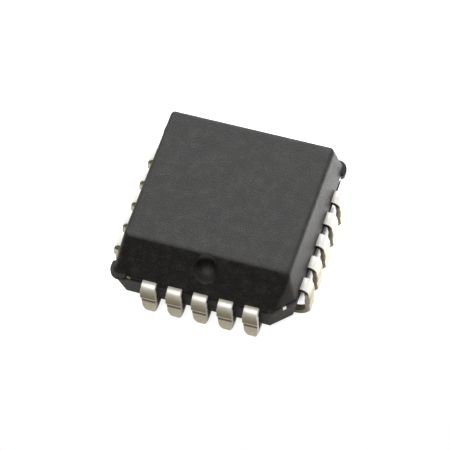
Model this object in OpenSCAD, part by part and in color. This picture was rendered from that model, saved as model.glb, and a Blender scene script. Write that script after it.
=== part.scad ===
// Plastic leaded chip carrier with 20 J-leads, five on each side.
// Units are millimetres. Z = 0 is the seating plane under the J feet, the origin is the centre of the
// footprint, -Y is the pin 1 side with the wide bevel, and the cut corner is at +X, -Y.
// Pins count anticlockwise seen from above, from the middle of the pin 1 side.

/* [Package] */
// Width of the moulding at the top of its lower half, both ways
body_w = 8.93; // [8.89:0.01:9.04]
// Height of the top face above the seating plane
body_top = 4.37; // [4.19:0.01:4.57]
// Height of the underside above the seating plane
standoff = 0.60; // [0.55:0.01:0.80]
// Lean of the upper half's walls, which lets them leave the mould
upper_draft = 10.4; // [9.5:0.1:11]
// Lean of the lower half's walls
lower_draft = 11.6; // [8:0.1:12]
// Depth of the bevel on the pin 1 side, measured across the top face
bevel_run = 0.86; // [0.82:0.01:0.88]
// Length that the cut corner takes off each side
corner_cut = 0.95; // [0.93:0.01:0.97]
// Lean of the cut corner in the upper half
upper_cut_lean = 13; // [12:0.1:13.3]
// Lean of the cut corner in the lower half
lower_cut_lean = 14.5; // [13:0.1:15]
// Step from the lower half in to the upper half
half_step = 0.045; // [0.02:0.005:0.06]
// Radius on the edges of the top face and the underside
edge_r = 0.20; // [0.15:0.01:0.22]
// Radius on the corner edges of both halves
corner_r = 0.30; // [0.22:0.01:0.32]

/* [Leads] */
// Pitch of the leads
pitch = 1.27; // [1.25:0.01:1.29]
// Distance over the lips of opposite leads
lead_span = 9.85; // [9.84:0.01:10.03]
// Height of the upper face of the leads where they leave the moulding
lead_top = 2.58; // [2.50:0.01:2.70]
// Thickness of the lead frame
lead_t = 0.25; // [0.20:0.01:0.28]
// Width of a lead where it leaves the moulding
lead_w = 0.70; // [0.66:0.01:0.72]
// Extra width left by the cut dam bar
dam_extra = 0.06; // [0.02:0.01:0.08]
// Width of the J foot
foot_w = 0.36; // [0.33:0.01:0.46]
// Outer radius of the J foot
foot_r = 0.85; // [0.80:0.01:0.90]
// Outer radius of the shoulder
shoulder_r = 0.40; // [0.36:0.01:0.44]
// Flare of the upper leg, away from the body
leg_flare = 6; // [4:0.5:7]
// Height of the lip where the upper leg ends
lip_z = 1.70; // [1.60:0.01:1.75]
// Radius of the lip
lip_r = 0.06; // [0.05:0.005:0.07]
// Step back from the lip to the lower leg
lip_step = 0.055; // [0.045:0.005:0.06]

/* [Pin 1 dimple] */
// Radius of the round-ended dimple
dimple_r = 0.55; // [0.45:0.01:0.60]
// Height of the centre of its round end
dimple_z = 3.56; // [3.50:0.01:3.60]
// Sideways offset of the dimple from the middle lead
dimple_x = 0.09; // [0:0.01:0.12]

/* [Inside] */
// Width of the die
die_w = 2.50; // [2.2:0.05:2.6]
// Thickness of the die
die_t = 0.33; // [0.25:0.01:0.38]
// Thickness of the film of epoxy under the die
attach_t = 0.03; // [0.02:0.01:0.05]
// Width of the die paddle
paddle_w = 3.60; // [3.4:0.05:3.7]
// Drop of the paddle below the leads
downset = 0.20; // [0.15:0.01:0.25]
// Width of the tie bars
tie_w = 0.18; // [0.14:0.01:0.22]
// Radius of the bond wires
wire_r = 0.0165; // [0.0125:0.0005:0.0195]
// Radius of the bend at the top of a bond wire
wire_bend = 0.15; // [0.12:0.01:0.18]

/* [Hidden] */
$fn = 48;
per_side = 5;
pins = 4 * per_side;
mid = (per_side - 1) / 2;
far = 20;
bite = 0.2;
// Joints inside one piece lap by this much, with the inner one thinner by a skin
lap = 0.02;
skin = 0.001;
// Rounds stand out by this much, so that they cross the faces beside them and don't only touch them
round_out = 0.003;

// Lead frame plane
lead_bot = lead_top - lead_t;
half_w = body_w / 2;
upper_half_w = half_w - half_step;
upper_h = body_top - lead_top;
top_half_w = upper_half_w - upper_h * tan(upper_draft);
bevel_lean = atan((upper_half_w - top_half_w + bevel_run) / upper_h);
cut_dist = (2 * half_w - corner_cut) / sqrt(2);

// Corner posts: moulding that filled the lead frame windows at the corners
post_half_w = half_w + 0.135;
post_from = 3.72;
post_r = 0.50;
post_end_r = 0.16;
post_cut_dist = cut_dist + 0.03;

// Walls of each half: [direction, distance at the lead plane, lean]
upper_walls = [
    [270, upper_half_w, bevel_lean],
    [315, cut_dist, upper_cut_lean],
    [0, upper_half_w, upper_draft],
    [90, upper_half_w, upper_draft],
    [180, upper_half_w, upper_draft]
];
lower_walls = [
    [270, half_w, -lower_draft],
    [315, cut_dist, -lower_cut_lean],
    [0, half_w, -lower_draft],
    [90, half_w, -lower_draft],
    [180, half_w, -lower_draft]
];

// Lead bend
half_span = lead_span / 2;
lip_centre = [half_span - lip_r, lip_z + lip_r];
shoulder_z = lead_top - shoulder_r;
upper_len = (shoulder_z - lip_centre[1]) / cos(leg_flare) + (shoulder_r - lip_r) * tan(leg_flare);
shoulder_u = snap(lip_centre[0] - upper_len * sin(leg_flare) - (shoulder_r - lip_r) * cos(leg_flare));
leg_u = snap(half_span - lip_step);
joggle_h = 0.15;
foot_u = leg_u - foot_r;
foot_end = -145;

// Inner ends of the leads
run_from = half_w - 0.45;
tip_pitch = 0.62;
tip_w = 0.40;
tip_u = paddle_w / 2 + 0.55;
tip_splay = 0.10;

// Die stack
paddle_top = lead_top - downset;
die_z = paddle_top + attach_t;
die_top = die_z + die_t;
attach_w = die_w + 0.16;
tie_exit = 3.60;
// The tie bars are cut off this much proud of the moulding
tie_stub = 0.02;
tie_slope = 2 * downset;

// Bond wires
ball_r = 2.6 * wire_r;
ball_h = 2 * wire_r;
neck_h = 0.12;
pad_pitch = 0.42;
pad_inset = 0.13;
stitch_u = tip_u + 0.14;

plastic = [0.13, 0.13, 0.14];
solder = [0.72, 0.71, 0.68];
copper = [0.75, 0.48, 0.33];
silver_epoxy = [0.62, 0.62, 0.60];
silicon = [0.30, 0.32, 0.38];
gold = [0.90, 0.72, 0.30];

// Rounds a length to a whole number of micrometres, so that neighbours share the same edge
function snap(v) = round(v * 1000) / 1000;
function two_digits(n) = str(n < 10 ? "0" : "", n);
function lead_name(pin) = str("lead_", two_digits(pin));
function wire_name(pin) = str("bond_wire_", two_digits(pin));
function side_of(pin) = floor(((pin - 1 + mid) % pins) / per_side);
function place_of(pin) = (pin - 1 + mid) % per_side - mid;

// Outward normal of a wall that faces a direction and leans
function wall_normal(w) = [cos(w[0]) * cos(w[2]), sin(w[0]) * cos(w[2]), sin(w[2])];
// Distance of a wall from the axis at a height above the lead plane
function wall_dist(w, h) = w[1] - h * tan(w[2]);
// Where two walls meet at a height above the lead plane z0
function wall_meet(a, b, h, z0) =
    let (da = wall_dist(a, h), db = wall_dist(b, h), s = sin(b[0] - a[0]))
    [(da * sin(b[0]) - db * sin(a[0])) / s, (db * cos(a[0]) - da * cos(b[0])) / s, z0 + h];
function unit(v) = v / norm(v);

// What rounding takes off the edge from a to b between faces with normals n1 and n2
module round_edge(a, b, n1, n2, r) {
    along = unit(b - a);
    out = unit(n1 + n2);
    across = cross(along, out);
    half_angle = acos(n1 * n2) / 2;
    depth = r / cos(half_angle);
    touch = [r * sin(half_angle), r * cos(half_angle) - depth];
    start = a - 0.6 * along;
    multmatrix([
        [across[0], out[0], along[0], start[0]],
        [across[1], out[1], along[1], start[1]],
        [across[2], out[2], along[2], start[2]],
        [0, 0, 0, 1]
    ])
        linear_extrude(height = norm(b - a) + 1.2)
            difference() {
                polygon([touch, [0, depth], [-touch[0], touch[1]], [0, -depth]]);
                translate([0, round_out - depth]) circle(r);
            }
}

// Everything on the inner side of one leaning wall
module inside_wall(w, z0) {
    rotate([0, 0, w[0]])
        translate([w[1], 0, z0])
            rotate([0, -w[2], 0])
                translate([-far, -far / 2, -far / 2])
                    cube(far);
}

// One half of the moulding, from the lead plane z0 to a cap h above it (below it where h is negative)
module mould_half(walls, z0, h) {
    count = len(walls);
    cap = [0, 0, sign(h)];
    difference() {
        intersection() {
            translate([-far / 2, -far / 2, min(z0, z0 + h)])
                cube([far, far, abs(h)]);
            intersection_for (w = walls)
                inside_wall(w, z0);
        }
        for (i = [0:count - 1]) {
            w = walls[i];
            next = walls[(i + 1) % count];
            last = walls[(i + count - 1) % count];
            round_edge(wall_meet(w, next, 0, z0), wall_meet(w, next, h, z0),
                wall_normal(w), wall_normal(next), corner_r);
            round_edge(wall_meet(last, w, h, z0), wall_meet(w, next, h, z0),
                wall_normal(w), cap, edge_r);
        }
    }
}

// Band of moulding between the leads, joining the halves
module lead_plane_band() {
    translate([0, 0, lead_bot])
        linear_extrude(height = lead_t)
            intersection() {
                square(2 * upper_half_w, center = true);
                rotate(-45) translate([cut_dist - far, -far / 2]) square(far);
            }
}

// Thin post at a square corner
module corner_post() {
    size = post_half_w - post_from;
    translate([post_from, post_from, lead_bot])
        linear_extrude(height = lead_t)
            union() {
                square(size - post_end_r);
                for (swap = [0, 1])
                    mirror([swap, -swap])
                        union() {
                            translate([0, post_end_r]) square([size, size - post_r - post_end_r]);
                            translate([size - post_end_r, post_end_r]) circle(post_end_r);
                        }
                translate([size - post_r, size - post_r]) circle(post_r);
            }
}

// Thin post at the cut corner
module cut_corner_post() {
    translate([0, 0, lead_bot])
        linear_extrude(height = lead_t)
            intersection() {
                translate([half_w - corner_cut - bite, -half_w]) square(corner_cut + bite);
                rotate(-45) translate([post_cut_dist - far, -far / 2]) square(far);
            }
}

// Dimple left by a round-ended pin that stood in the mould
module dimple() {
    translate([dimple_x, -upper_half_w + (dimple_z - lead_top) * tan(bevel_lean), dimple_z])
        rotate([0, 0, -90]) {
            sphere(dimple_r);
            cylinder(h = body_top - dimple_z + bite, r = dimple_r);
        }
}

module mould_form() {
    difference() {
        union() {
            mould_half(upper_walls, lead_top, upper_h);
            mould_half(lower_walls, lead_bot, standoff - lead_bot);
            lead_plane_band();
            for (turn = [0, 90, 180])
                rotate([0, 0, turn]) corner_post();
            cut_corner_post();
        }
        dimple();
    }
}

module package_body() {
    color(plastic)
        difference() {
            mould_form();
            for (pin = [1:pins]) {
                lead(pin);
                bond_wire(pin);
            }
            die_paddle();
            die_attach();
            die();
        }
}

// Part of a ring between two angles
module ring_sector(r, t, from, to) {
    intersection() {
        difference() {
            circle(r);
            circle(r - t);
        }
        polygon(concat([[0, 0]], [for (k = [0:4]) 3 * r * [cos(from + (to - from) * k / 4),
            sin(from + (to - from) * k / 4)]]));
    }
}

// Side view of a lead outside the moulding: x is the distance from the axis, y the height
module lead_profile() {
    out = [cos(leg_flare), sin(leg_flare)];
    fall = [sin(leg_flare), -cos(leg_flare)];
    centre = [shoulder_u, shoulder_z];
    leg_out = centre + (shoulder_r - skin) * out;
    leg_in = centre + (shoulder_r - lead_t + skin) * out;
    lip_in = leg_in + upper_len * fall;
    translate([run_from, lead_bot]) square([shoulder_u - run_from, lead_t]);
    translate(centre) ring_sector(shoulder_r, lead_t, 90, leg_flare);
    polygon([leg_out - lap * fall, leg_out + upper_len * fall, lip_in, leg_in - lap * fall]);
    translate(lip_centre) circle(lip_r);
    polygon([
        [leg_u, foot_r],
        [leg_u, lip_centre[1] + lap],
        [lip_in[0] + lap, lip_in[1] + 3 * lap],
        [leg_u - lead_t, lip_in[1] - joggle_h],
        [leg_u - lead_t, foot_r]
    ]);
    translate([foot_u, foot_r]) ring_sector(foot_r, lead_t, 0, foot_end);
}

// Front view of a lead: the widths that it has at each height
module lead_front() {
    dam_w = lead_w + dam_extra;
    taper_top = 1.25 * foot_r;
    taper_bot = 0.42 * foot_r;
    half = concat(
        [
            [lead_w, lead_top + bite],
            [lead_w, lead_bot + 0.02],
            [dam_w, lead_bot - 0.10],
            [dam_w, lip_z],
            [lead_w, lip_z - 0.05]
        ],
        [for (k = [0:8]) [
            foot_w + (lead_w - foot_w) * (1 + cos(180 * k / 8)) / 2,
            taper_top + (taper_bot - taper_top) * k / 8
        ]],
        [[foot_w, -bite]]
    );
    polygon(concat(
        [for (p = half) [p[0] / 2, p[1]]],
        [for (i = [len(half) - 1:-1:0]) [-half[i][0] / 2, half[i][1]]]
    ));
}

// Finger of a lead inside the moulding, seen from above: x along the side, y out from the axis
module finger_plan(place) {
    x = place * pitch;
    tip = [place * tip_pitch, tip_u + abs(place) * tip_splay];
    polygon([
        [x - lead_w / 2, run_from + bite],
        [x - lead_w / 2, run_from],
        [tip[0] - tip_w / 2, tip[1]],
        [tip[0] + tip_w / 2, tip[1]],
        [x + lead_w / 2, run_from],
        [x + lead_w / 2, run_from + bite]
    ]);
}

module lead(pin) {
    place = place_of(pin);
    color(solder)
        rotate([0, 0, 90 * side_of(pin)])
            union() {
                translate([place * pitch, 0, 0])
                    intersection() {
                        rotate([90, 0, -90])
                            linear_extrude(height = 2 * lead_w, center = true) lead_profile();
                        rotate([90, 0, 0])
                            linear_extrude(height = far / 2) lead_front();
                    }
                translate([0, 0, lead_bot])
                    linear_extrude(height = lead_t)
                        mirror([0, 1]) finger_plan(place);
            }
}

// Straight tie bar along a diagonal: from the paddle, up a slope to the lead plane, to a distance out
module tie_bar(turn, reach) {
    from = paddle_w / sqrt(2) - 0.3;
    bend = from + 0.6;
    low = paddle_top - lead_t;
    rotate([0, 0, turn])
        rotate([90, 0, 0])
            linear_extrude(height = tie_w, center = true)
                polygon([
                    [from, low], [bend, low], [bend + tie_slope, lead_bot], [reach, lead_bot],
                    [reach, lead_top], [bend + tie_slope, lead_top], [bend, paddle_top], [from, paddle_top]
                ]);
}

// Tie bar that turns at its diagonal's end to leave through a side
module side_tie_bar(turn) {
    tie_bar(turn, tie_exit * sqrt(2));
    rotate([0, 0, turn - 45])
        translate([tie_exit, tie_exit, lead_bot]) {
            cylinder(h = lead_t, d = tie_w);
            translate([0, -tie_w / 2, 0]) cube([upper_half_w + tie_stub - tie_exit, tie_w, lead_t]);
        }
}

module die_paddle() {
    color(copper)
        union() {
            translate([0, 0, paddle_top - lead_t / 2])
                cube([paddle_w, paddle_w, lead_t], center = true);
            tie_bar(-45, post_cut_dist + tie_stub);
            tie_bar(135, sqrt(2) * (post_half_w - post_r) + post_r + tie_stub);
            side_tie_bar(45);
            mirror([1, 1, 0]) side_tie_bar(45);
        }
}

module die_attach() {
    color(silver_epoxy)
        translate([0, 0, paddle_top + attach_t / 2])
            cube([attach_w, attach_w, attach_t], center = true);
}

module die() {
    color(silicon)
        translate([0, 0, die_z + die_t / 2])
            cube([die_w, die_w, die_t], center = true);
}

// Wire seen from the side: up from its ball, round a bend and down to the lead, at a distance and a drop
module wire_form(length, drop) {
    rise = ball_h + neck_h;
    run = length - wire_bend;
    fall = drop + rise;
    reach = sqrt(run * run + fall * fall);
    leave = acos(wire_bend / reach) - atan2(fall, run);
    straight = sqrt(reach * reach - wire_bend * wire_bend);
    cylinder(h = ball_h, r = ball_r);
    cylinder(h = rise + wire_r / 2, r = 0.97 * wire_r);
    translate([wire_bend, 0, rise])
        rotate([90, 0, 0]) {
            rotate([0, 0, leave])
                rotate_extrude(angle = 180 - leave) translate([wire_bend, 0]) circle(wire_r);
            rotate([0, 0, leave])
                translate([wire_bend, wire_r / 2, 0])
                    rotate([90, 0, 0]) cylinder(h = straight + 4 * wire_r, r = 0.97 * wire_r);
        }
}

module bond_wire(pin) {
    place = place_of(pin);
    pad = [place * pad_pitch, pad_inset - die_w / 2];
    stitch = [place * tip_pitch, -stitch_u - abs(place) * tip_splay];
    way = stitch - pad;
    color(gold)
        rotate([0, 0, 90 * side_of(pin)])
            difference() {
                translate([pad[0], pad[1], die_top])
                    rotate([0, 0, atan2(way[1], way[0])])
                        wire_form(norm(way), die_top - lead_top);
                translate([stitch[0], stitch[1], lead_top - tip_w]) cube(2 * tip_w, center = true);
            }
}

package_body();
die_paddle();
die_attach();
die();
for (pin = [1:pins])
    lead(pin);
for (pin = [1:pins])
    bond_wire(pin);
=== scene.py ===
import math

import bmesh
import bpy
from mathutils import Matrix, Vector


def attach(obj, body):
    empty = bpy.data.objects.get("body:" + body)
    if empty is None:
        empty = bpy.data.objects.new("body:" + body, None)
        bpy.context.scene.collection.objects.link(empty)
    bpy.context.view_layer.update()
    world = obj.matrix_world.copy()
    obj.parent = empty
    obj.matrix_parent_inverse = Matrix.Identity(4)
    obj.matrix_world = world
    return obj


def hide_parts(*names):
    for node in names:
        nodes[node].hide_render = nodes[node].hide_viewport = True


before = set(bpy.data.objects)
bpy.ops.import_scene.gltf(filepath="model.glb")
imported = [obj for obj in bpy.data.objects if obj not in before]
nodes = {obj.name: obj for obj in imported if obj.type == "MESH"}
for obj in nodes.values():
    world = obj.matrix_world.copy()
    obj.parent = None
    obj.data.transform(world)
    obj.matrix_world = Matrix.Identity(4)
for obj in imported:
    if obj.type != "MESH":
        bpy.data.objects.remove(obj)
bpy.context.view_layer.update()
scene = bpy.context.scene
MM = 0.001

# Sizes of the part, in millimetres, as in its source; U is the distance from the middle towards a side
HALF_W = 8.93 / 2
PITCH = 1.27
PER_SIDE = 5
PINS = 4 * PER_SIDE
MIDDLE = PER_SIDE // 2
HALF_SPAN = 9.85 / 2
LEAD_TOP = 2.58
LEAD_T = 0.25
LEAD_BOTTOM = LEAD_TOP - LEAD_T
LEAD_W = 0.70
TIP_PITCH = 0.62
TIP_W = 0.40
TIP_U = 2.35
TIP_SPLAY = 0.10
RUN_FROM = HALF_W - 0.45
RUN_IN_WALL = HALF_W - 0.20
BEFORE_SHOULDER = 0.02
SHOULDER_R = 0.40
LEG_FLARE = math.radians(6)
LEG_U = HALF_SPAN - 0.055
LIP_Z = 1.70
LIP_R = 0.06
LIP_END = math.radians(-68)
JOGGLE_DROP = 0.035
JOGGLE_EASE = (0.006, 0.023)
DAM_W = 0.76
DAM_STARTS = LEAD_BOTTOM + 0.02
DAM_FULL = LEAD_BOTTOM - 0.10
DAM_ENDS = LIP_Z - 0.05
FOOT_W = 0.36
FOOT_R = 0.85
FOOT_END = math.radians(-145)
TAPER_STARTS = 1.25 * FOOT_R
TAPER_ENDS = 0.42 * FOOT_R
TIE_BARS_SHOW = 3.7
DIMPLE_AT = (0.09, -3.77, 3.56)
DIMPLE_R = 0.55
DIMPLE_EDGE = DIMPLE_R + 0.006
DIMPLE_WALL_TOP = 4.10
BEVEL_NORMAL = (0, -0.833, 0.553)

# Rounding of a lead's long edges, and the steps along its bends
EDGE_R_OUT, EDGE_R_IN, EDGE_STEPS = 0.030, 0.022, 3
RUN_STEPS, SHOULDER_STEPS, LEG_STEPS, LIP_STEPS, LOWER_STEPS, FOOT_STEPS = 3, 16, 6, 7, 5, 28

# Material slots of a lead: plating, cut edges that also carry painted shade, and a painted lit copy of the
# edges
PLATED, CUT_AND_SHADED, LIT_COPY = 0, 1, 2


class Nodes:
    """Small builder for one node tree."""

    def __init__(self, tree):
        self.tree = tree
        tree.nodes.clear()

    def add(self, kind, settings=None, **inputs):
        n = self.tree.nodes.new(kind)
        for k, v in (settings or {}).items():
            setattr(n, k, v)
        for k, v in inputs.items():
            self.put(n, k.replace("_", " "), v)
        return n

    def put(self, n, socket, v):
        s = n.inputs[socket]
        if isinstance(v, bpy.types.NodeSocket):
            self.tree.links.new(v, s)
        else:
            s.default_value = v

    def math(self, op, a, b=0.0, clamp=False):
        n = self.tree.nodes.new("ShaderNodeMath")
        n.operation = op
        n.use_clamp = clamp
        self.put(n, 0, a)
        self.put(n, 1, b)
        return n.outputs[0]

    def weighted(self, a, share, b):
        """Sum of a by its share and b by the rest."""
        return self.math("ADD", self.math("MULTIPLY", a, share), self.math("MULTIPLY", b, 1 - share))

    def ramp(self, fac, stops):
        """Colour ramp; a stop's value is a colour, or a float for a grey."""
        n = self.tree.nodes.new("ShaderNodeValToRGB")
        e = n.color_ramp.elements
        while len(e) < len(stops):
            e.new(0.5)
        for el, (p, c) in zip(e, stops):
            el.position = p
            el.color = (c, c, c, 1) if isinstance(c, float) else (*c, 1)
        self.put(n, "Fac", fac)
        return n.outputs["Color"]

    def ramp_mm(self, value, stops, start=0.0, reach=10.0):
        """Ramp over a measure from start over reach, with its stops in millimetres."""
        if start:
            value = self.math("SUBTRACT", value, start)
        fac = self.math("MULTIPLY", value, 1 / reach)
        return self.ramp(fac, [((at - start) / reach, c) for at, c in stops])

    def mix(self, fac, a, b, blend="MIX"):
        n = self.tree.nodes.new("ShaderNodeMix")
        n.data_type = "RGBA"
        n.blend_type = blend
        self.put(n, 0, fac)
        self.put(n, 6, a)
        self.put(n, 7, b)
        return n.outputs[2]

    def noise(self, vec, scale, detail=3.0, rough=0.6):
        n = self.tree.nodes.new("ShaderNodeTexNoise")
        self.put(n, "Vector", vec)
        n.inputs["Scale"].default_value = scale
        n.inputs["Detail"].default_value = detail
        n.inputs["Roughness"].default_value = rough
        return n.outputs["Fac"]

    def vector(self, op, a, b=(0, 0, 0), out="Vector"):
        n = self.tree.nodes.new("ShaderNodeVectorMath")
        n.operation = op
        self.put(n, 0, a)
        self.put(n, 1, b)
        return n.outputs[out]

    def mm(self):
        """Object coordinates in millimetres."""
        c = self.tree.nodes.new("ShaderNodeTexCoord")
        return self.vector("MULTIPLY", c.outputs["Object"], (1 / MM, 1 / MM, 1 / MM))

    def xyz(self, vec):
        n = self.tree.nodes.new("ShaderNodeSeparateXYZ")
        self.put(n, 0, vec)
        return n.outputs

    def from_middle(self, x, y):
        """Greater of the distances from the middle along X and Y."""
        return self.math("MAXIMUM", self.math("ABSOLUTE", x), self.math("ABSOLUTE", y))

    def bump(self, height, micrometres, normal=None):
        n = self.tree.nodes.new("ShaderNodeBump")
        n.inputs["Distance"].default_value = micrometres * 1e-6
        n.inputs["Strength"].default_value = 1.0
        self.put(n, "Height", height)
        if normal is not None:
            self.put(n, "Normal", normal)
        return n.outputs[0]

    def finish(self, shader):
        out = self.tree.nodes.new("ShaderNodeOutputMaterial")
        self.tree.links.new(shader, out.inputs["Surface"])

    def surface(self, metallic=0.0, **inputs):
        """Principled surface that ends the material."""
        b = self.add("ShaderNodeBsdfPrincipled", **inputs)
        b.inputs["Metallic"].default_value = metallic
        self.finish(b.outputs[0])
        return b


def material(name):
    m = bpy.data.materials.new(name)
    m.use_nodes = True
    return m, Nodes(m.node_tree)


def shallow_dimple(t, p, normal):
    """Shade the dimple shallower than it is: its near half as if level, its upper wall as if on the bevel."""
    z, facing = t.xyz(p)[2], t.xyz(normal)[1]
    in_ball = t.math("LESS_THAN", t.vector("DISTANCE", p, DIMPLE_AT, "Value"), DIMPLE_EDGE)
    near_half = t.ramp(t.math("ADD", facing, 0.6), [(0.15, 0.0), (0.75, 1.0)])
    level = t.math("MULTIPLY", in_ball, near_half)
    plan, axis = t.vector("MULTIPLY", p, (1, 1, 0)), (*DIMPLE_AT[:2], 0)
    on_wall = t.math("LESS_THAN", t.vector("DISTANCE", plan, axis, "Value"), DIMPLE_EDGE)
    lift = t.math("MULTIPLY", on_wall, t.ramp_mm(z, [(DIMPLE_AT[2], 0.0), (DIMPLE_WALL_TOP, 0.75)]))
    lift = t.math("MAXIMUM", lift, t.math("MULTIPLY", in_ball, 0.3))
    normal = t.mix(lift, normal, (*BEVEL_NORMAL, 1))
    return t.vector("NORMALIZE", t.mix(level, normal, (0, 0, 1, 1)))


def mould_compound():
    """Black epoxy with a fine grain, its edges softer on the right."""
    m, t = material("mould_compound")
    p = t.mm()
    fine = t.noise(p, 14.0)
    broad = t.noise(p, 2.2, 3.0, 0.55)
    pits = t.noise(p, 30.0, 2.0)
    colour = t.ramp(t.weighted(fine, 0.65, broad), [
        (0.30, (0.001, 0.001, 0.001)),
        (0.50, (0.008, 0.008, 0.008)),
        (0.70, (0.045, 0.044, 0.045)),
    ])
    edge_r = t.ramp_mm(t.xyz(p)[0], [(3.3, 0.14 * MM), (3.8, 0.34 * MM)])
    soft = t.add("ShaderNodeBevel", {"samples": 8}, Radius=edge_r).outputs[0]
    n = t.bump(fine, 26.0, shallow_dimple(t, p, soft))
    n = t.bump(pits, 2.0, n)
    b = t.surface(Base_Color=colour, Roughness=t.ramp(fine, [(0.3, 0.46), (0.7, 0.60)]), Normal=n)
    b.inputs["Specular IOR Level"].default_value = 0.55
    return m


def solder_plate():
    """Plating with fine drawn lines; its tone by height is painted light and shade, and it is darker next to
    the moulding as painted shade.
    """
    m, t = material("solder_plate")
    p = t.mm()
    x, y, z = t.xyz(p)
    streaks = t.noise(t.vector("MULTIPLY", p, (34.0, 34.0, 1.6)), 1.0)
    cloud = t.noise(p, 5.0)
    # Colours by height are painted light and shade: painted reflections of the floor low down, a painted
    # highlight on the lip, painted shade in the fold under it, a painted reflection of the dark room on the
    # upper leg, and a painted highlight on the shoulder
    foot, leg = (0.84, 0.79, 0.68), (0.77, 0.70, 0.57)
    painted_crease_shade, lip = (0.18, 0.15, 0.10), (0.90, 0.87, 0.80)
    brown, tan = (0.40, 0.35, 0.24), (0.60, 0.54, 0.39)
    bend, top = (0.90, 0.85, 0.71), (0.97, 0.965, 0.95)
    painted_light_by_height = t.ramp_mm(z, [
        (0.000, foot), (1.410, leg),
        (1.452, painted_crease_shade), (1.590, painted_crease_shade),
        (1.635, lip), (1.776, lip),
        (1.818, brown), (2.070, tan),
        (2.340, bend), (2.490, top),
    ], reach=3.0)
    # painted shade where the lead leaves the moulding
    painted_shade_at_exit = t.ramp_mm(t.from_middle(x, y), [(4.48, (0.56, 0.54, 0.50)), (4.62, 1.0)])
    tint = t.ramp(t.weighted(streaks, 0.6, cloud), [(0.25, (0.78, 0.76, 0.72)), (0.5, 1.0), (0.75, 1.12)])
    colour = t.mix(1.0, t.mix(1.0, painted_light_by_height, painted_shade_at_exit, "MULTIPLY"), tint, "MULTIPLY")
    rough = t.ramp(cloud, [(0.3, 0.36), (0.7, 0.48)])
    t.surface(0.35, Base_Color=colour, Roughness=rough, Normal=t.bump(streaks, 2.0))
    return m


def sheared_shaded_edge():
    """Cut edge of a lead, dark overall as the shaded copy of the edges, with painted shade high up where it
    leaves the moulding.
    """
    m, t = material("sheared_shaded_edge")
    p = t.mm()
    lines = t.noise(t.vector("MULTIPLY", p, (9.0, 9.0, 30.0)), 1.0, 2.0)
    bright = t.ramp(lines, [(0.25, (0.36, 0.32, 0.25)), (0.75, (0.58, 0.53, 0.44))])
    # painted shade on the upper part of the edge, next to the moulding
    painted_shade_near_body = t.ramp_mm(t.xyz(p)[2], [(2.10, 1.0), (2.37, (0.12, 0.11, 0.10))], reach=3.0)
    colour = t.mix(1.0, bright, painted_shade_near_body, "MULTIPLY")
    rough = t.ramp(lines, [(0.3, 0.30), (0.7, 0.42)])
    t.surface(1.0, Base_Color=colour, Roughness=rough, Normal=t.bump(lines, 1.5))
    return m


def lead_frame_copper():
    """Copper inside; the cut ends of the tie bars, which show outside, are plated, the left ones brown."""
    m, t = material("lead_frame_copper")
    p = t.mm()
    x, y, _ = t.xyz(p)
    grain = t.noise(p, 12.0)
    copper = t.ramp(grain, [(0.3, (0.60, 0.30, 0.17)), (0.7, (0.82, 0.47, 0.30))])
    plated = t.ramp(grain, [(0.3, (0.78, 0.75, 0.66)), (0.7, (0.95, 0.94, 0.90))])
    plated = t.mix(t.math("LESS_THAN", x, 0.0), plated, (0.30, 0.24, 0.13, 1))
    cut_end = t.math("GREATER_THAN", t.from_middle(x, y), TIE_BARS_SHOW)
    rough = t.ramp(grain, [(0.3, 0.28), (0.7, 0.40)])
    t.surface(1.0, Base_Color=t.mix(cut_end, copper, plated), Roughness=rough)
    return m


def grained(name, dark, light, scale, rough, metallic=0.0):
    """Plain grained surface between two colours."""
    m, t = material(name)
    g = t.noise(t.mm(), scale)
    colour = t.ramp(g, [(0.3, dark), (0.7, light)])
    t.surface(metallic, Base_Color=colour, Roughness=t.ramp(g, [(0.3, rough * 0.85), (0.7, rough * 1.15)]))
    return m


def arc(cu, cz, r, a0, a1, n):
    """Points on an arc about (cu, cz), from angle a0 to a1 in n steps."""
    angles = [a0 + (a1 - a0) * k / n for k in range(n + 1)]
    return [(cu + r * math.cos(a), cz + r * math.sin(a)) for a in angles]


def lead_width(z, turned):
    """Width of a lead at height z of its outer line; turned means past the lowest line of the foot."""
    if turned:
        return FOOT_W
    if z > DAM_STARTS:
        return LEAD_W
    if z > DAM_FULL:
        return LEAD_W + (DAM_W - LEAD_W) * (DAM_STARTS - z) / (DAM_STARTS - DAM_FULL)
    if z > LIP_Z:
        return DAM_W
    if z > DAM_ENDS:
        return DAM_W + (LEAD_W - DAM_W) * (LIP_Z - z) / (LIP_Z - DAM_ENDS)
    f = min(max((TAPER_STARTS - z) / (TAPER_STARTS - TAPER_ENDS), 0), 1)
    return FOOT_W + (LEAD_W - FOOT_W) * (1 + math.cos(math.pi * f)) / 2


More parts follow.
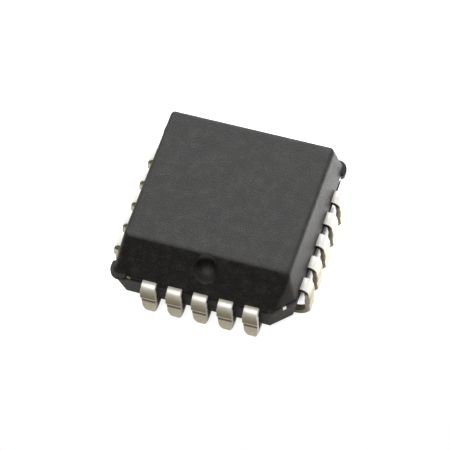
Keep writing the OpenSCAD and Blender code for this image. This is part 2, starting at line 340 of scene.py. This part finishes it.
def lead_stations(place):
    """Stations from a lead's tip inside to its J end: outer point, inner point, width, sideways offset."""
    stations = []
    tip_off = place * (TIP_PITCH - PITCH)
    tip_u = TIP_U + abs(place) * TIP_SPLAY
    for k in range(RUN_STEPS + 1):
        f = k / RUN_STEPS
        u = tip_u + (RUN_FROM - tip_u) * f
        width = TIP_W + (LEAD_W - TIP_W) * f
        stations.append(((u, LEAD_TOP), (u, LEAD_BOTTOM), width, tip_off * (1 - f)))

    # the shoulder's centre (su, sz), set by the lip at the end of the flared upper leg
    lip_u, lip_z = HALF_SPAN - LIP_R, LIP_Z + LIP_R
    sz = LEAD_TOP - SHOULDER_R
    length = (sz - lip_z) / math.cos(LEG_FLARE) + (SHOULDER_R - LIP_R) * math.tan(LEG_FLARE)
    su = lip_u - length * math.sin(LEG_FLARE) - (SHOULDER_R - LIP_R) * math.cos(LEG_FLARE)
    for u in (RUN_IN_WALL, su - BEFORE_SHOULDER):
        stations.append(((u, LEAD_TOP), (u, LEAD_BOTTOM), LEAD_W, 0.0))

    # shoulder and upper leg
    outer = arc(su, sz, SHOULDER_R, math.pi / 2, LEG_FLARE, SHOULDER_STEPS)
    inner = arc(su, sz, SHOULDER_R - LEAD_T, math.pi / 2, LEG_FLARE, SHOULDER_STEPS)
    fall = Vector((math.sin(LEG_FLARE), -math.cos(LEG_FLARE))) * length
    for line in (outer, inner):
        start = Vector(line[-1])
        line += [start + fall * k / LEG_STEPS for k in range(1, LEG_STEPS + 1)]

    # rounded lip at the end of the upper leg, then the joggle back to the lower leg
    outer += arc(lip_u, lip_z, LIP_R, LEG_FLARE, LIP_END, LIP_STEPS)[1:]
    lower_z = outer[-1][1] - JOGGLE_DROP
    outer += [(LEG_U + JOGGLE_EASE[0], lower_z + JOGGLE_EASE[1]), (LEG_U, lower_z)]
    start, end = inner[-1], Vector((LEG_U - LEAD_T, lower_z))
    added = len(outer) - len(inner)
    inner += [start.lerp(end, k / added) for k in range(1, added + 1)]

    # lower leg and J foot
    for k in range(1, LOWER_STEPS + 1):
        z = lower_z + (FOOT_R - lower_z) * k / LOWER_STEPS
        outer.append((LEG_U, z))
        inner.append((LEG_U - LEAD_T, z))
    foot_u = LEG_U - FOOT_R
    outer += arc(foot_u, FOOT_R, FOOT_R, 0, FOOT_END, FOOT_STEPS)[1:]
    inner += arc(foot_u, FOOT_R, FOOT_R - LEAD_T, 0, FOOT_END, FOOT_STEPS)[1:]

    turned = False
    for o, q in zip(outer, inner):
        turned = turned or o[0] < foot_u
        stations.append((o, q, lead_width(o[1], turned), 0.0))
    return stations


def lead_ring(outer, inner, width):
    """Section of a lead with rounded edges: for each point its sideways place, and its U and height."""
    outer, inner = Vector(outer), Vector(inner)
    thick = (outer - inner).length
    outward = (outer - inner) / thick
    corners = ((1, 1, EDGE_R_OUT), (-1, 1, EDGE_R_OUT), (-1, -1, EDGE_R_IN), (1, -1, EDGE_R_IN))
    ring = []
    for quarter, (sx, sy, r) in enumerate(corners):
        for k in range(EDGE_STEPS + 1):
            a = math.radians(90 * quarter + 90 * k / EDGE_STEPS)
            rise = (thick - r if sy > 0 else r) + r * math.sin(a)
            ring.append((sx * (width / 2 - r) + r * math.cos(a), inner + outward * rise))
    return ring


def lead_piece(pin, plate, sheared_shaded, painted_lit):
    """Formed lead with rounded edges, in place of the solid lead of that pin."""
    side, place = divmod((pin - 1 + MIDDLE) % PINS, PER_SIDE)
    place -= MIDDLE
    turn = Matrix.Rotation(math.pi / 2 * side, 3, "Z")
    bm = bmesh.new()
    rings = []
    for outer, inner, width, offset in lead_stations(place):
        rings.append([bm.verts.new(turn @ Vector((place * PITCH + offset + x, -c[0], c[1])) * MM)
                      for x, c in lead_ring(outer, inner, width)])

    # edges towards -X or -Y get the cut-edge material as painted shade, the others the painted lit copy
    n = len(rings[0])
    first, second = (CUT_AND_SHADED, LIT_COPY) if side < 2 else (LIT_COPY, CUT_AND_SHADED)
    edge_slots = {2 * EDGE_STEPS + 1: first, n - 1: second}
    for a, b in zip(rings, rings[1:]):
        for k in range(n):
            j = (k + 1) % n
            f = bm.faces.new((a[k], a[j], b[j], b[k]))
            f.smooth = True
            f.material_index = edge_slots.get(k, PLATED)
    for ring in (rings[0], rings[-1][::-1]):
        bm.faces.new(ring).material_index = CUT_AND_SHADED
    bmesh.ops.recalc_face_normals(bm, faces=bm.faces)

    name = "lead_%02d" % pin
    mesh = bpy.data.meshes.new("formed_" + name)
    bm.to_mesh(mesh)
    bm.free()
    for mat in (plate, sheared_shaded, painted_lit):
        mesh.materials.append(mat)
    ob = bpy.data.objects.new("formed_" + name, mesh)
    scene.collection.objects.link(ob)
    wn = ob.modifiers.new("even_normals", "WEIGHTED_NORMAL")
    wn.keep_sharp = True
    wn.weight = 80
    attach(ob, "root")
    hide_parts(name)
    return ob


def floor_material():
    """Pale floor that glows for the camera, apart from under the body, and for mirrored rays beside it."""
    m, t = material("pale_floor")
    p = t.mm()
    x, y, _ = t.xyz(p)
    ray = t.add("ShaderNodeLightPath").outputs
    tone = t.ramp(t.noise(p, 0.05, 2.0, 0.5), [(0.3, 0.82), (0.7, 0.86)])
    pale = t.add("ShaderNodeBsdfDiffuse", Color=tone)

    right = t.ramp_mm(x, [(4.8, 0.06), (5.4, 1.3), (6.1, 5.4), (6.8, 3.4), (8.0, 1.3), (10.0, 0.8)])
    right = t.math("MULTIPLY", right, t.ramp_mm(y, [(-2.8, 0.04), (2.8, 1.0)], start=-5.0))
    left = t.ramp_mm(x, [(-4.7, 0.0), (-5.0, 0.2)], reach=-10.0)
    mirrored = t.math("MAXIMUM", ray["Is Glossy Ray"], ray["Is Transmission Ray"])
    mirrored = t.math("MULTIPLY", mirrored, t.math("ADD", right, left))

    under_x = t.ramp_mm(t.math("ABSOLUTE", x), [(4.05, 1.0), (4.20, 0.0)])
    under_y = t.ramp_mm(t.math("ABSOLUTE", y), [(3.40, 1.0), (3.65, 0.0)])
    under_cut = t.ramp_mm(t.math("SUBTRACT", x, y), [(5.6, 1.0), (6.2, 0.0)], reach=20.0)
    under = t.math("MULTIPLY", t.math("MULTIPLY", under_x, under_y), under_cut)
    glow = 0.80
    shown = t.math("SUBTRACT", glow, t.math("MULTIPLY", under, glow))
    shown = t.math("MULTIPLY", ray["Is Camera Ray"], shown)

    light = t.add("ShaderNodeEmission", Strength=t.math("ADD", shown, mirrored))
    both = t.add("ShaderNodeAddShader")
    t.put(both, 0, pale.outputs[0])
    t.put(both, 1, light.outputs[0])
    t.finish(both.outputs[0])
    return m


def lay_floor():
    """Sheet under the part; it ends close in front, so that front faces mirror the dark room past it."""
    (x0, y0), (x1, y1) = (-0.03, -0.0064), (0.10, 0.10)
    mesh = bpy.data.meshes.new("floor")
    mesh.from_pydata([(x0, y0, 0), (x1, y0, 0), (x1, y1, 0), (x0, y1, 0)], [], [(0, 1, 2, 3)])
    mesh.materials.append(floor_material())
    floor = bpy.data.objects.new("floor", mesh)
    scene.collection.objects.link(floor)


def light_room():
    """Room that the part mirrors: dark ahead, grey behind, with brighter low sides; white for the camera."""
    world = bpy.data.worlds.new("studio")
    scene.world = world
    world.use_nodes = True
    t = Nodes(world.node_tree)
    x, y, z = t.xyz(t.add("ShaderNodeTexCoord").outputs["Generated"])
    # from 0 ahead to 1 behind, turned a little to the right
    toward_back = t.math("ADD", y, t.math("MULTIPLY", x, 0.25))
    toward_back = t.math("MULTIPLY", t.math("ADD", toward_back, 0.30), 1.6, clamp=True)
    ahead = t.ramp(z, [
        (0.0, (0.025, 0.022, 0.018)),
        (0.35, (0.07, 0.065, 0.056)),
        (0.65, (0.32, 0.31, 0.29)),
        (0.88, (0.80, 0.80, 0.79)),
    ])
    # from 0 on the left to 1 on the right
    across = t.math("MULTIPLY", t.math("ADD", x, 1.0), 0.5)
    low = t.ramp(across, [(0.05, 1.2), (0.45, 0.6), (0.85, 1.1)])
    high = t.ramp(across, [(0.38, 0.58), (0.60, 0.42)])
    behind = t.mix(t.ramp(z, [(0.15, 0.0), (0.60, 1.0)]), low, high)
    room = t.mix(toward_back, ahead, behind)
    for_camera = t.add("ShaderNodeLightPath").outputs["Is Camera Ray"]
    background = t.add("ShaderNodeBackground", Color=t.mix(for_camera, room, (1, 1, 1, 1)))
    out = t.tree.nodes.new("ShaderNodeOutputWorld")
    t.tree.links.new(background.outputs[0], out.inputs["Surface"])


def softbox(name, at, size, watts, colour=(1, 1, 1)):
    """Area light that looks at the origin, with its place and size in metres."""
    li = bpy.data.lights.new(name, "AREA")
    li.shape = "RECTANGLE"
    li.size, li.size_y = size
    li.energy = watts
    li.color = colour
    ob = bpy.data.objects.new(name, li)
    ob.location = at
    ob.rotation_euler = (-Vector(at)).to_track_quat("-Z", "Y").to_euler()
    scene.collection.objects.link(ob)
    return ob


def hang_lights(leads):
    """Two lights for everything, and one at the side that reaches the leads only."""
    softbox("overhead", (-0.04, -0.14, 0.30), (0.15, 0.20), 0.41, colour=(1.0, 0.95, 0.84))
    softbox("key", (-0.02, 0.27, 0.22), (0.20, 0.20), 0.76)
    side = softbox("side", (0.25, -0.09, 0.03), (0.10, 0.05), 0.13)
    lit = bpy.data.collections.new("lit_by_side")
    for ob in leads:
        lit.objects.link(ob)
    side.light_linking.receiver_collection = lit


def place_camera():
    """Camera fitted to the photo: its right, up and back axes, and its place in millimetres."""
    axes = (
        (0.95041, 0.30583, -0.05650),
        (-0.22916, 0.81147, 0.53758),
        (0.21026, -0.49797, 0.84131),
    )
    place = (35.91, -85.65, 146.55)
    cam = bpy.data.cameras.new("camera")
    cam.sensor_fit = "HORIZONTAL"
    cam.sensor_width = 36.0
    cam.lens = 287.0
    cam.clip_start = 0.005
    cam.clip_end = 10.0
    stand = Matrix(axes).transposed().to_4x4()
    stand.translation = Vector(place) * MM
    camera = bpy.data.objects.new("camera", cam)
    camera.matrix_world = stand
    scene.collection.objects.link(camera)
    scene.camera = camera


plate_mat = solder_plate()
gold_mat = grained("gold_wire", (0.82, 0.58, 0.20), (0.95, 0.74, 0.34), 40.0, 0.22, 1.0)
looks = {
    "package_body": mould_compound(),
    "die_paddle": lead_frame_copper(),
    "die_attach": grained("silver_epoxy", (0.40, 0.40, 0.38), (0.62, 0.62, 0.60), 20.0, 0.5),
    "die": grained("silicon", (0.16, 0.17, 0.22), (0.26, 0.28, 0.34), 6.0, 0.15, 0.6),
}
for node_name, node in nodes.items():
    mat = looks.get(node_name) or (gold_mat if node_name.startswith("bond_wire") else plate_mat)
    node.data.materials.clear()
    node.data.materials.append(mat)

sheared_shaded_mat = sheared_shaded_edge()
# painted lit copy of the lead edges: near white where an edge faces +X or +Y
painted_lit_mat = grained("painted_lit_edge", (0.93, 0.92, 0.88), (0.98, 0.975, 0.96), 16.0, 0.45, 0.1)
formed_leads = [lead_piece(pin, plate_mat, sheared_shaded_mat, painted_lit_mat) for pin in range(1, PINS + 1)]

lay_floor()
light_room()
hang_lights(formed_leads)
place_camera()
scene.view_settings.view_transform = "Standard"
